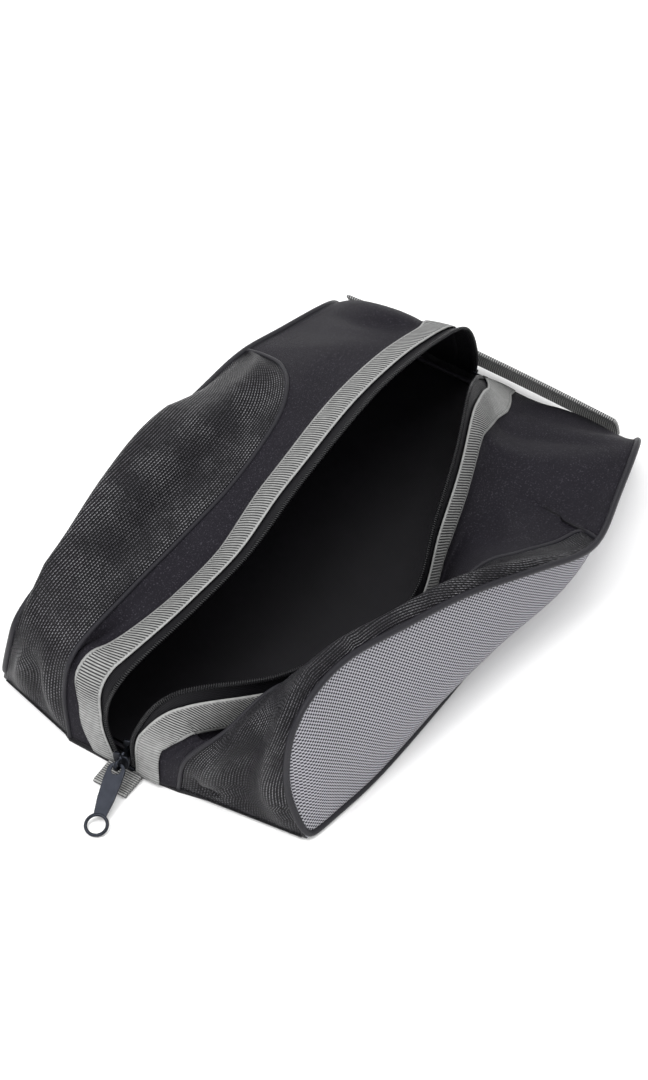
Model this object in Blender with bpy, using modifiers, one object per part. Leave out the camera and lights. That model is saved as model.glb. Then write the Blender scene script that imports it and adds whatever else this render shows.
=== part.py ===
"""Golf shoe bag lying on its base with its lengthwise zip open.

Frame: metres, +X from the toe end to the handle end, +Y to the bag's left, +Z up,
with the origin on the floor under the middle of the base.
The mouth's right lip is folded outward and its left lip stands almost closed.
"""
import math

import bpy
import numpy as np
from mathutils import Matrix, Vector

# Overall size of the bag
LENGTH = 0.360
WIDTH = 0.210
HEIGHT = 0.100

# Cloth
PANEL_THICK = 0.0012
NET_THICK = 0.0010
BASE_THICK = 0.0020
BOARD_THICK = 0.0020
BOARD_INSET = 0.014

# Trim sewn to the cloth
SIDE_PIPING = 0.0040
SEAM_PIPING = 0.0030
BINDING = 0.0030
BINDING_INSET = 0.0105
TAPE_WIDTH = 0.0140
TAPE_THICK = 0.0008
TAPE_SHOWN = 0.0090
RIBBON_WIDTH = 0.0190
RIBBON_THICK = 0.0010
HUG = 0.0325
WEBBING_WIDTH = 0.0250
WEBBING_THICK = 0.0026
TAB_LENGTH = 0.0160

# Zip and its slider
TEETH = 0.0036
ROW_SPACING = 0.0080
SLIDER_WIDTH = 0.0110
SLIDER_HEIGHT = 0.0120
SLIDER_PLATE = 0.0015
SLIDER_THROAT = 0.0090
SLIDER_POST = 0.0020
CROWN_WIRE = 0.0016
CROWN_RADIUS = 0.0034
PULLER_LENGTH = 0.0380
PULLER_THICK = 0.0016
PULLER_WIDTH = 0.0088
PULLER_RING = 0.0140
PULLER_HOLE = 0.0108
PULLER_EYE = (0.0008, 0.0062, 0.0026)
PULLER_YAW = math.radians(14.7)
PULLER_DROP = math.radians(16.5)
STOP_LENGTH = 0.0040

# Fits
GAP = 0.0004

# Derived heights
RIM = SIDE_PIPING / 2 + 0.0002
FOOT = BASE_THICK + GAP + 0.0006

# Seam lines in shares of half the length, half the width and the height. Each starts on the base
# at the toe end, climbs, runs along the bag and comes down to the base at the handle end.
LEFT_ZIP = [
    (-1.040, 0.10, 0.03), (-1.020, 0.21, 0.33), (-0.967, 0.14, 0.64), (-0.695, 0.00, 0.83),
    (-0.445, -0.06, 0.91), (-0.167, -0.05, 0.98), (0.111, -0.04, 1.01), (0.361, -0.04, 1.01),
    (0.594, -0.09, 0.99), (0.772, -0.12, 0.87), (0.880, -0.09, 0.48), (1.000, 0.03, 0.03),
]
RIGHT_ZIP = [
    (-1.040, 0.03, 0.03), (-1.020, 0.02, 0.34), (-0.940, -0.16, 0.66), (-0.695, -0.51, 0.60),
    (-0.445, -0.66, 0.53), (-0.167, -0.78, 0.51), (0.111, -0.64, 0.64), (0.361, -0.50, 0.72),
    (0.594, -0.33, 0.72), (0.767, -0.20, 0.50), (0.889, -0.11, 0.26), (1.000, -0.03, 0.03),
]
LEFT_TOP = [
    (-0.956, 0.99, 0.02), (-0.972, 0.90, 0.42), (-0.933, 0.86, 0.66), (-0.695, 0.85, 0.78),
    (-0.445, 0.89, 0.83), (-0.167, 0.95, 0.78), (0.111, 0.97, 0.66), (0.400, 0.99, 0.57),
    (0.611, 0.95, 0.47), (0.844, 0.89, 0.37), (0.950, 0.93, 0.18), (0.989, 0.99, 0.02),
]
RIGHT_TOP = [
    (-0.967, -1.01, 0.02), (-0.972, -0.89, 0.42), (-0.928, -0.90, 0.90), (-0.711, -0.93, 1.03),
    (-0.445, -1.04, 0.95), (-0.167, -1.16, 0.83), (0.111, -1.32, 0.66), (0.345, -1.42, 0.51),
    (0.606, -1.31, 0.45), (0.850, -1.19, 0.40), (0.950, -1.09, 0.20), (0.989, -1.00, 0.02),
]
LEFT_BASE = [
    (-0.956, 0.99), (-0.700, 1.07), (-0.300, 1.12), (0.200, 1.12), (0.700, 1.08), (0.989, 0.99),
]
RIGHT_BASE = [
    (-0.967, -1.01), (-0.830, -1.05), (-0.578, -1.10), (0.000, -1.11), (0.550, -1.07), (0.989, -1.00),
]
# The seam between net and black cloth ends on the side panel's top edge, at the station TIP.
LEFT_SEAM = [
    (-1.040, 0.44, 0.03), (-1.022, 0.48, 0.38), (-0.967, 0.46, 0.65), (-0.695, 0.44, 0.69),
    (-0.445, 0.40, 0.73), (-0.167, 0.37, 0.77), (0.111, 0.41, 0.80), (0.267, 0.51, 0.79),
    (0.367, 0.66, 0.72), (0.411, 0.82, 0.64),
]
RIGHT_SEAM = [
    (-1.022, -0.25, 0.03), (-1.022, -0.31, 0.33), (-0.955, -0.49, 0.58), (-0.750, -0.60, 0.68),
    (-0.490, -0.82, 0.50), (-0.195, -0.93, 0.52), (0.028, -1.01, 0.61), (0.167, -1.12, 0.56),
    (0.306, -1.21, 0.47), (0.411, -1.27, 0.43),
]
TIP = 7.15
# Stations of the zip line that face the seam's points, then those that face the top edge.
SEAM_FACES = [0, 1.03, 2.2, 3.05, 4, 5, 6, 6.5, 7, 7.35, 7.6]
# How steeply each lip falls away from its zip edge, in degrees, at the zip line's stations.
LEFT_FALL = [0, 10, 25, 34, 34, 30, 28, 27, 27, 27, 10, 0]
RIGHT_FALL = [0, 30, 58, 73, 80, 82, 76, 72, 65, 55, 22, 0]

ROWS = 4
ACROSS = 7
STATIONS = np.sort(np.append(np.linspace(0, 11, 11 * ROWS + 1), SEAM_FACES[-2]))

SIDES = {
    "left": (1, LEFT_ZIP, LEFT_TOP, LEFT_BASE, LEFT_SEAM, LEFT_FALL),
    "right": (-1, RIGHT_ZIP, RIGHT_TOP, RIGHT_BASE, RIGHT_SEAM, RIGHT_FALL),
}


def collection(name):
    """A new collection of the scene."""
    made = bpy.data.collections.new(name)
    bpy.context.scene.collection.children.link(made)
    return made


def material(name, colour, roughness, metallic=0.0):
    """A Principled material with one colour."""
    made = bpy.data.materials.new(name)
    made.use_nodes = True
    shader = made.node_tree.nodes["Principled BSDF"]
    shader.inputs["Base Color"].default_value = (*colour, 1.0)
    shader.inputs["Roughness"].default_value = roughness
    shader.inputs["Metallic"].default_value = metallic
    made.diffuse_color = (*colour, 1.0)
    return made


def place(shares):
    """Points of the bag in metres, from shares of half length, half width and height."""
    return np.array(shares, float) * (LENGTH / 2, WIDTH / 2, HEIGHT)


def through(points, at):
    """The smooth curve through the points, read at the stations at: station i is point i."""
    points, at = np.asarray(points, float), np.asarray(at, float)
    first = np.clip(at.astype(int), 0, len(points) - 2)
    t = (at - first)[:, None]
    slope = np.gradient(points, axis=0)
    return (
        (2 * t**3 - 3 * t**2 + 1) * points[first]
        + (t**3 - 2 * t**2 + t) * slope[first]
        + (3 * t**2 - 2 * t**3) * points[first + 1]
        + (t**3 - t**2) * slope[first + 1]
    )


def unit(vectors):
    """Each vector at length one."""
    return vectors / np.linalg.norm(vectors, axis=-1, keepdims=True)


def moved_in(edge, towards, inset):
    """An edge line moved by the inset towards the line beside it, square to its own run."""
    along = unit(np.gradient(edge, axis=0))
    off = towards - edge
    return edge + unit(off - (off * along).sum(1, keepdims=True) * along) * inset


def loft(lines, across):
    """A grid of points whose rows pass smoothly through the lines, which have equal counts."""
    stack = np.stack(lines)
    at = np.linspace(0, len(lines) - 1, across)
    flat = stack.reshape(len(lines), -1)
    return through(flat, at).reshape(across, -1, 3).transpose(1, 0, 2)


def add(name, mesh_or_curve, finish):
    """Links a new object of the bag with its material."""
    made = bpy.data.objects.new(name, mesh_or_curve)
    made.data.materials.append(finish)
    parts.objects.link(made)
    return made


def sheet(name, grid, thickness, finish, outward):
    """Cloth: an open grid surface with Solidify. outward is a point outside the middle cell."""
    rows, columns = grid.shape[:2]
    i, j = np.meshgrid(np.arange(rows - 1), np.arange(columns - 1), indexing="ij")
    corner = (i * columns + j).ravel()
    faces = np.stack([corner, corner + columns, corner + columns + 1, corner + 1], axis=1)
    middle = grid[rows // 2, columns // 2]
    normal = np.cross(
        grid[rows // 2 + 1, columns // 2] - middle, grid[rows // 2, columns // 2 + 1] - middle
    )
    if normal @ (np.asarray(outward) - middle) < 0:
        faces = faces[:, ::-1]
    mesh = bpy.data.meshes.new(name)
    mesh.from_pydata(grid.reshape(-1, 3).tolist(), [], faces.tolist())
    mesh.shade_smooth()
    made = add(name, mesh, finish)
    wall = made.modifiers.new("Solidify", "SOLIDIFY")
    wall.thickness = thickness
    wall.offset = 0.0
    return made


def cord(name, path, radius, finish, closed=False, sides=2):
    """A round trim or wire along a path, with closed ends."""
    curve = bpy.data.curves.new(name, "CURVE")
    curve.dimensions = "3D"
    curve.bevel_depth = radius
    curve.bevel_resolution = sides
    curve.use_fill_caps = not closed
    spline = curve.splines.new("POLY")
    spline.points.add(len(path) - 1)
    spline.points.foreach_set("co", np.column_stack([path, np.ones(len(path))]).ravel())
    spline.use_cyclic_u = closed
    return add(name, curve, finish)


def plate(name, outlines, thickness, finish):
    """A flat piece: a filled 2D outline, with any holes, extruded by half its thickness each way."""
    curve = bpy.data.curves.new(name, "CURVE")
    curve.dimensions = "2D"
    curve.fill_mode = "BOTH"
    curve.extrude = thickness / 2
    for outline in outlines:
        spline = curve.splines.new("POLY")
        spline.points.add(len(outline) - 1)
        flat = [(x, y, 0.0, 1.0) for x, y in outline]
        spline.points.foreach_set("co", np.array(flat).ravel())
        spline.use_cyclic_u = True
    return add(name, curve, finish)


def arc(centre, radius, start, end, count):
    """Points on a circle's arc in the plane, angles in degrees."""
    angles = np.radians(np.linspace(start, end, count))
    return [(centre[0] + radius * math.cos(a), centre[1] + radius * math.sin(a)) for a in angles]


def turned(origin, x_axis, y_axis):
    """A world matrix from an origin and two axes at right angles."""
    x, y = Vector(x_axis).normalized(), Vector(y_axis).normalized()
    z = x.cross(y)
    return Matrix.Translation(Vector(origin)) @ Matrix((x, y, z)).transposed().to_4x4()


def seated(shares, centre_y=None):
    """A seam line in metres with both ends at the foot of the walls. A zip line's ends also keep
    the spacing of the teeth rows."""
    line = place(shares)
    line[[0, -1], 2] = FOOT
    if centre_y is not None:
        line[0, 1] = ZIP_NEAR_Y + centre_y
        line[-1, 1] = centre_y
    return line


def rimmed(shares):
    """A side panel's edge in metres, with both ends at the height of the piping on the base."""
    line = place(shares)
    line[[0, -1], 2] = RIM
    return line


def along_x(line, x):
    """The station at which a line that runs along the bag passes x, past its first rise."""
    at = np.linspace(2, 9, 200)
    return float(np.interp(x, through(line, at)[:, 0], at))


def lip_frame(line, sign, fall):
    """Along a zip edge: the direction in which the lip's cloth leaves it, and the outward normal."""
    path = through(line, STATIONS)
    tangent = unit(np.gradient(path, axis=0))
    angle = np.radians(np.interp(STATIONS, range(12), fall))
    away = np.column_stack([np.zeros_like(angle), sign * np.cos(angle), -np.sin(angle)])
    square = np.interp(STATIONS, [0, 1, 10, 11], [0, 1, 1, 0])[:, None]
    away = unit(away - square * (away * tangent).sum(1, keepdims=True) * tangent)
    return path, away, sign * np.cross(tangent, away)


def top_border(sign, seam, top):
    """The black panel's outer border at every station: the seam, then the side panel's top edge."""
    tip = through(top, [TIP])
    line = np.vstack([seam, tip])
    on_seam = through(line, np.interp(STATIONS, SEAM_FACES, range(len(line))))
    faces = [SEAM_FACES[-1], 8, 9, 10, 11]
    on_top = through(top, np.interp(STATIONS, faces, [TIP, 8, 9, 10, 11]))
    return np.where((STATIONS <= SEAM_FACES[-1])[:, None], on_seam, on_top)


def lip(side, sign, zip_line, fall, border):
    """The pieces from the zip edge outward: teeth, tape, ribbon and black top panel."""
    path, away, normal = lip_frame(zip_line, sign, fall)
    shrink = np.interp(STATIONS, [1, 2, 10, 11], [0.60, 1, 1, 0.8])[:, None]
    shown = np.interp(STATIONS, [1, 2, 9.4, 10.4], [0.3, 1, 1, 0.2])[:, None] * TAPE_SHOWN
    outside = path[len(path) // 2] + normal[len(path) // 2]

    ends = np.array([0.12, 10.84])
    inner = np.arange(1, 11 * ROWS - 1) / ROWS
    teeth_at = np.concatenate([ends[:1], inner[inner > ends[0]], ends[1:]])
    cord(f"{side}_zip_teeth", through(zip_line, teeth_at), TEETH / 2, TEETH_BLACK)
    stop_end = 10.84 + 0.012
    stop = through(zip_line, np.linspace(stop_end, stop_end + 0.085, 3))
    cord(f"{side}_top_stop", stop, TEETH / 2, METAL)

    tape = [path + away * (TEETH / 2 + GAP), path + away * TAPE_WIDTH]
    sheet(f"{side}_zip_tape", loft(tape, 3), TAPE_THICK, TAPE_BLACK, outside)

    clear = np.interp(STATIONS, [1, 2, 3], [2.6 * GAP, 4 * GAP, 2.6 * GAP])[:, None]
    lift = normal * (PANEL_THICK / 2 + clear + RIBBON_THICK / 2)
    reach = np.minimum(shown + RIBBON_WIDTH, HUG * shrink - 0.001)
    ribbon = [path + away * shown + lift, path + away * reach + lift]
    sheet(f"{side}_ribbon", loft(ribbon, 3), RIBBON_THICK, RIBBON_GREY, outside)

    start = path + away * (TAPE_WIDTH + GAP)
    hug = path + away * (HUG * shrink)
    edge = moved_in(border, hug, SIDE_PIPING / 2 + GAP * 2)
    span = np.linalg.norm(edge - hug, axis=1, keepdims=True)
    heel = np.interp(STATIONS, [8.5, 9.8, 10.5, 11], [0, 1, 1, 0])[:, None] * HEEL_FULLNESS[side]
    turn = hug + away * span * PANEL_ROUND + np.array([0, 0, 1]) * span * PANEL_LIFT
    turn[:, :1] += heel
    t = np.linspace(0, 1, 7)[:, None, None]
    curve = (1 - t) ** 2 * hug + 2 * t * (1 - t) * turn + t**2 * edge
    grid = np.concatenate([np.stack([start, (start + hug) / 2]), curve]).transpose(1, 0, 2)
    sheet(f"{side}_top_panel", grid, PANEL_THICK, CLOTH_BLACK, outside)


def net_gusset(side, sign, seam, top):
    """The net between the seam and the side panel's top edge, with a soft crest near that edge."""
    tip = through(top, [TIP])
    line = np.vstack([seam, tip])
    last = len(seam) - 0.6
    at = np.linspace(0, last, 40)
    inner = through(line, at)
    station = np.interp(at, range(len(line)), [0, 1, 2, 3, 4, 5, 6, 6.45, 6.8, 7.0, TIP])
    outer = through(top, station)
    swell = np.interp(station, [0, 1.6, 2.6, 5.5, 7], [0, 0, 1, 1, 0])[:, None]
    rise = np.array([0, -sign * NET_CREST[side][0], NET_CREST[side][1]])
    crest = outer + swell * rise + (1 - swell) * (inner - outer) * 0.25
    middle = (inner + crest) / 2
    inner = moved_in(inner, middle, SEAM_PIPING / 2 + GAP * 2)
    outer = moved_in(outer, crest, SIDE_PIPING / 2 + GAP * 2)
    grid = loft([inner, middle, crest, outer], 10)
    outside = grid[20, 5] + (0, sign * -0.02, 0.1)
    sheet(f"{side}_mesh_gusset", grid, NET_THICK, NET_BLACK, outside)
    reach = np.linspace(0, last - 0.25, 44)
    cord(f"{side}_seam_piping", through(line, reach), SEAM_PIPING / 2, PIPING_BLACK)


def side_panel(side, sign, top, base):
    """The checked D-shaped panel and the piping round it."""
    station = np.concatenate([[0.30], np.arange(1, 22) / 2, [10.75]])
    upper, flat = through(top, station), np.array([0, -1, 0])
    inset = SIDE_PIPING / 2 + GAP * 2
    upper = upper + unit(np.cross(unit(np.gradient(upper, axis=0)), flat)) * inset
    share = np.interp(station, [0, 2, 9, 11], [0, 0.9, 4.1, 5])
    lower = through(base, share) + np.array([0, 0, inset])
    lower[:, 0] = np.clip(lower[:, 0], upper[0, 0], upper[-1, 0])
    belly = np.interp(station, [0, 2, 5, 8, 11], [0, 0.5, 1, 0.6, 0])[:, None] * SIDE_BELLY
    middle = upper * 0.45 + lower * 0.55 + np.array([0, sign, 0]) * belly
    grid = loft([upper, middle, lower], 7)
    outside = grid[len(grid) // 2, 3] + (0, sign * 0.1, 0)
    sheet(f"{side}_side_panel", grid, PANEL_THICK, CHECK_GREY, outside)
    loop_top = through(top, np.linspace(0.08, 10.92, 46))
    loop_base = through(base, np.linspace(4.85, 0.15, 24))
    loop = np.vstack([loop_top, loop_base])
    cord(f"{side}_side_piping", loop, SIDE_PIPING / 2, PIPING_BLACK, closed=True)


def base_pieces():
    """The base cloth, the stiffening board on it and the binding round its seam inside."""
    inset = SIDE_PIPING / 2 + GAP * 3
    left = through(lines["left"][2], np.linspace(0.06, 4.94, 21))[:, :2] - (0, inset)
    left[:, 0] = np.clip(left[:, 0], left[1, 0], left[-2, 0])
    right = through(lines["right"][2], np.linspace(4.94, 0.06, 21))[:, :2] + (0, inset)
    right[:, 0] = np.clip(right[:, 0], right[-2, 0], right[1, 0])
    far = [
        (LENGTH / 2 * 1.004, lines["left"][1][-1][1] * 0.7),
        (LENGTH / 2 * 1.012, 0.0),
        (LENGTH / 2 * 1.004, lines["right"][1][-1][1] * 0.7),
    ]
    near = [
        (lines["right"][3][0][0] - 0.001, lines["right"][3][0][1]),
        (lines["left"][0][0][0] - 0.0015, ZIP_NEAR_Y),
        (lines["left"][3][0][0] - 0.001, lines["left"][3][0][1]),
    ]
    outline = np.vstack([left, far, right, near])
    flat = plate("base_panel", [outline.tolist()], BASE_THICK, CLOTH_BLACK)
    flat.location.z = BASE_THICK / 2
    centre = outline.mean(0)

    def shrunk(inset):
        reach = np.linalg.norm(outline - centre, axis=1, keepdims=True)
        return centre + (outline - centre) * (1 - inset / reach)

    board_z = BASE_THICK + GAP + BOARD_THICK / 2
    board = plate("base_board", [shrunk(BOARD_INSET).tolist()], BOARD_THICK, BOARD_BLACK)
    board.location.z = board_z
    ring = shrunk(BINDING_INSET)
    height = BASE_THICK + GAP + BINDING / 2
    path = np.column_stack([ring, np.full(len(ring), height)])
    cord("base_seam_binding", path, BINDING / 2, PIPING_BLACK, closed=True)


def zip_hardware():
    """The slider with its crown and puller, and the stop that joins both tapes below it."""
    near = (lines["left"][0][0] + lines["right"][0][0]) / 2
    stop = (near[0], near[1], FOOT + STOP_LENGTH / 2 - 0.0006)
    bpy.ops.mesh.primitive_cube_add(size=1, location=stop)
    block = bpy.context.object
    block.name = "zip_bottom_stop"
    block.data.transform(Matrix.Diagonal((TEETH, ROW_SPACING + 0.003, STOP_LENGTH - 0.001, 1)))
    block.data.materials.append(METAL)
    for held in list(block.users_collection):
        held.objects.unlink(block)
    parts.objects.link(block)

    half, plate_half = SLIDER_THROAT / 2, SLIDER_WIDTH / 2
    outer, post = half + SLIDER_PLATE, SLIDER_POST / 2
    profile = [
        (-outer, -plate_half), (-half, -plate_half), (-half, -post), (half, -post),
        (half, -plate_half), (outer, -plate_half), (outer, plate_half), (half, plate_half),
        (half, post), (-half, post), (-half, plate_half), (-outer, plate_half),
    ]
    slider = plate("slider_body", [profile], SLIDER_HEIGHT, METAL)
    centre = np.array([near[0], near[1], FOOT + STOP_LENGTH + SLIDER_HEIGHT / 2 + 0.0006])
    slider.location = centre

    face = centre[0] - outer
    pivot = np.array([face - CROWN_RADIUS * 0.66, centre[1], centre[2]])
    bend = np.radians(np.linspace(90, 270, 9))
    hoop = [(face - GAP, pivot[2] + CROWN_RADIUS)]
    hoop += [(pivot[0] + CROWN_RADIUS * math.cos(a), pivot[2] + CROWN_RADIUS * math.sin(a)) for a in bend]
    hoop += [(face - GAP, pivot[2] - CROWN_RADIUS)]
    path = np.array([(x, pivot[1], z) for x, z in hoop])
    cord("slider_crown", path, CROWN_WIRE / 2, METAL)

    ring = PULLER_RING / 2
    neck = math.degrees(math.asin(0.86 * PULLER_WIDTH / PULLER_RING))
    waist = PULLER_WIDTH * 0.43
    outline = arc((PULLER_WIDTH / 2 - 0.0012, 0), PULLER_WIDTH / 2, 100, 260, 11)
    outline += [(PULLER_LENGTH * 0.55, -waist)]
    outline += arc((PULLER_LENGTH, 0), ring, -180 + neck, 180 - neck, 21)
    outline += [(PULLER_LENGTH * 0.55, waist)]
    hole = arc((PULLER_LENGTH, 0), PULLER_HOLE / 2, 0, 345, 24)
    near_x, far_x, wide = PULLER_EYE
    eye = [(near_x, -wide), (far_x, -wide), (far_x, wide), (near_x, wide)]
    puller = plate("zip_puller", [outline, hole, eye], PULLER_THICK, METAL)
    flat = np.array([-math.cos(PULLER_YAW), -math.sin(PULLER_YAW), 0])
    down = flat * math.cos(PULLER_DROP) + np.array([0, 0, -math.sin(PULLER_DROP)])
    hinge = np.array([math.sin(PULLER_YAW), -math.cos(PULLER_YAW), 0])
    puller.matrix_world = turned(pivot, down, hinge)
    return pivot


def webbing():
    """The carry handle across the heel and the tab sewn in under the slider."""
    y = np.linspace(-1, 1, 25)
    arch = 1 - y**2
    tilt = unit(np.array(HANDLE_LEAN))
    low = np.column_stack([
        LENGTH / 2 + HANDLE_OUT + HANDLE_ARCH * arch,
        y * WIDTH / 2 * HANDLE_REACH,
        np.full_like(y, HANDLE_LOW),
    ])
    strap = sheet(
        "handle", loft([low, low + tilt * HANDLE_WIDTH], 3), WEBBING_THICK, WEBBING_GREY, (1, 0, 0)
    )
    near_x = lines["left"][0][0][0] - 0.0015
    centre = np.array([near_x - GAP - TAB_LENGTH / 2, ZIP_NEAR_Y, WEBBING_THICK / 2 + 0.0001])
    bpy.ops.mesh.primitive_cube_add(size=1, location=centre)
    tab = bpy.context.object
    tab.name = "front_tab"
    tab.data.transform(Matrix.Diagonal((TAB_LENGTH, WEBBING_WIDTH * 0.88, WEBBING_THICK, 1)))
    tab.data.materials.append(WEBBING_GREY)
    for held in list(tab.users_collection):
        held.objects.unlink(tab)
    parts.objects.link(tab)
    edge = tab.modifiers.new("Bevel", "BEVEL")
    edge.width = WEBBING_THICK * 0.3
    edge.segments = 2
    return strap


for old in list(bpy.data.objects):
    bpy.data.objects.remove(old, do_unlink=True)
parts = collection("golf_shoe_bag")

CLOTH_BLACK = material("black_cloth", (0.022, 0.021, 0.026), 0.85)
NET_BLACK = material("black_net", (0.03, 0.03, 0.032), 0.7)
CHECK_GREY = material("checked_cloth", (0.28, 0.28, 0.29), 0.8)
PIPING_BLACK = material("black_piping", (0.018, 0.018, 0.022), 0.6)
RIBBON_GREY = material("grey_ribbon", (0.33, 0.34, 0.33), 0.8)
WEBBING_GREY = material("grey_webbing", (0.30, 0.31, 0.30), 0.8)
TAPE_BLACK = material("zip_tape", (0.015, 0.015, 0.017), 0.8)
TEETH_BLACK = material("zip_teeth", (0.02, 0.02, 0.022), 0.35)
METAL = material("black_metal", (0.06, 0.065, 0.075), 0.35, 0.8)
BOARD_BLACK = material("base_board", (0.03, 0.03, 0.03), 0.7)

ZIP_NEAR_Y = 0.0065
NET_CREST = {"left": (0.002, 0.011), "right": (0.008, 0.008)}
SIDE_BELLY = 0.009
PANEL_ROUND = 0.30
PANEL_LIFT = 0.06
HEEL_FULLNESS = {"left": 0.005, "right": 0.017}
HANDLE_WIDTH = 0.0200
HANDLE_LEAN = (-0.35, 0.0, 0.94)
HANDLE_OUT = 0.0050
HANDLE_ARCH = 0.0030
HANDLE_REACH = 0.90
HANDLE_LOW = 0.0026

lines = {}
for side, (sign, zip_shares, top_shares, base_shares, seam_shares, fall) in SIDES.items():
    zip_line = seated(zip_shares, centre_y=sign * ROW_SPACING / 2)
    top = rimmed(top_shares)
    seam = place(seam_shares)
    seam[0, 2] = FOOT
    base = place([(x, y, 0.0) for x, y in base_shares])
    base[:, 2] = RIM
    lines[side] = (zip_line, top, base, seam)
    border = top_border(sign, seam, top)
    lip(side, sign, zip_line, fall, border)
    net_gusset(side, sign, seam, top)
    side_panel(side, sign, top, base)
base_pieces()
zip_hardware()
webbing()
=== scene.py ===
import math

import bpy
import numpy as np
from mathutils import Matrix, Vector


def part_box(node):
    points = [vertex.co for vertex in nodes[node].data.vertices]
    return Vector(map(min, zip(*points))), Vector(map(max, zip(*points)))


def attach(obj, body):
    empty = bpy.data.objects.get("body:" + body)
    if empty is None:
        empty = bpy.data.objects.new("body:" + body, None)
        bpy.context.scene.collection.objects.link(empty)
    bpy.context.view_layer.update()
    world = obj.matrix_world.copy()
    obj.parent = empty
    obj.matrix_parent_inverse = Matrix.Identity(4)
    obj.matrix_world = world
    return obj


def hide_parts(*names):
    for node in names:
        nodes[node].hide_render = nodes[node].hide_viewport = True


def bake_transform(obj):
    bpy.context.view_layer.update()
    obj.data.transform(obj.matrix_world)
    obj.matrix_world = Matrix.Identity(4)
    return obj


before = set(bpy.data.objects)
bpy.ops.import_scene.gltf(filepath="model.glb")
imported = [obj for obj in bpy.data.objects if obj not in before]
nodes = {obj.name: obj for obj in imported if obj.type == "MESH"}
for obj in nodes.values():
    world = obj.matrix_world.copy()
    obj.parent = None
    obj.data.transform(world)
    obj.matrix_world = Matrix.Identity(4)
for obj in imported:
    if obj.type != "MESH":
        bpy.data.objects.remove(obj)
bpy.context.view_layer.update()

# The base.
# A plain black cloth bottom is sewn to the walls all round, and a stiff board wrapped in black
# lining lies loose on it. The bound seam between base and walls runs round inside, over the board.
LINING = (0.0040, 0.0038, 0.0050, 1.0)


def node(material, kind, *feeds, **settings):
    """Adds a shader node. Each feed goes to the socket of its place: a link, a value, or None."""
    tree = material.node_tree
    made = tree.nodes.new(kind)
    for key, value in settings.items():
        setattr(made, key, value)
    for place, feed in enumerate(feeds):
        if isinstance(feed, bpy.types.NodeSocket):
            tree.links.new(feed, made.inputs[place])
        elif feed is not None:
            made.inputs[place].default_value = feed
    return made.outputs[0]


def maths(material, operation, *feeds):
    """One sum of the shader, such as a product or a sine."""
    return node(material, "ShaderNodeMath", *feeds, operation=operation)


def mixed(material, share, low, high):
    """The colour between low and high, by a share from 0 to 1."""
    made = material.node_tree.nodes.new("ShaderNodeMix")
    made.data_type = "RGBA"
    sockets = [s for s in made.inputs if s.type == "RGBA"]
    for socket, feed in ((made.inputs[0], share), (sockets[0], low), (sockets[1], high)):
        if isinstance(feed, bpy.types.NodeSocket):
            material.node_tree.links.new(feed, socket)
        else:
            socket.default_value = feed
    return next(s for s in made.outputs if s.type == "RGBA")


def ramped(material, value, low, high):
    """0 where the value is under low, 1 over high, and smooth between them."""
    return node(
        material, "ShaderNodeMapRange", value, low, high, 0.0, 1.0, interpolation_type="SMOOTHSTEP"
    )


def finish(name, roughness, specular=0.3, metallic=0.0, sheen=0.0):
    """A new material, its shader, and a way to feed the shader's named sockets."""
    material = bpy.data.materials.new(name)
    material.use_nodes = True
    shader = material.node_tree.nodes["Principled BSDF"]
    shader.inputs["Roughness"].default_value = roughness
    shader.inputs["Specular IOR Level"].default_value = specular
    shader.inputs["Metallic"].default_value = metallic
    shader.inputs["Sheen Weight"].default_value = sheen
    shader.inputs["Sheen Roughness"].default_value = 0.45

    def feed(colour=None, rough=None, height=None, depth=0.0002, strength=0.8):
        if colour is not None:
            material.node_tree.links.new(colour, shader.inputs["Base Color"])
        if rough is not None:
            material.node_tree.links.new(rough, shader.inputs["Roughness"])
        if height is not None:
            bump = material.node_tree.nodes.new("ShaderNodeBump")
            bump.inputs["Distance"].default_value = depth
            bump.inputs["Strength"].default_value = strength
            material.node_tree.links.new(height, bump.inputs["Height"])
            material.node_tree.links.new(bump.outputs[0], shader.inputs["Normal"])

    return material, feed


def object_axes(material):
    """The three object coordinates, in metres."""
    place = material.node_tree.nodes.new("ShaderNodeTexCoord").outputs["Object"]
    parts = material.node_tree.nodes.new("ShaderNodeSeparateXYZ")
    material.node_tree.links.new(place, parts.inputs[0])
    return place, parts.outputs[0], parts.outputs[1], parts.outputs[2]


def threads(material, along, pitch, lead=0.0):
    """A thread pattern from 0 to 1: half a sine of the distance along, once each pitch."""
    turns = maths(material, "MULTIPLY_ADD", along, 2 * math.pi / pitch, lead)
    return maths(material, "MULTIPLY_ADD", maths(material, "SINE", turns), 0.5, 0.5)


def left_over(material, share):
    """What a share from 0 to 1 leaves of the whole."""
    return maths(material, "SUBTRACT", 1.0, share)


def speckle(material, place, scale, detail=3.0):
    """Fine cloudy variation from 0 to 1, about 1/scale metres across."""
    return node(material, "ShaderNodeTexNoise", place, None, scale, detail)


def base_cloth():
    """Black lining cloth on the object's axes: a fine square weave with a faint cloudy sheen."""
    material, feed = finish("black_lining", 0.50, 0.18)
    place, x, y, _ = object_axes(material)
    weave = maths(material, "MULTIPLY", threads(material, x, 0.0009), threads(material, y, 0.0009))
    cloud = speckle(material, place, 60.0)
    feed(mixed(material, cloud, LINING, (0.0075, 0.0070, 0.0090, 1.0)), height=weave, depth=0.00012)
    return material


lining = base_cloth()
for name in ("base_panel", "base_board"):
    nodes[name].data.materials.clear()
    nodes[name].data.materials.append(lining)


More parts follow.
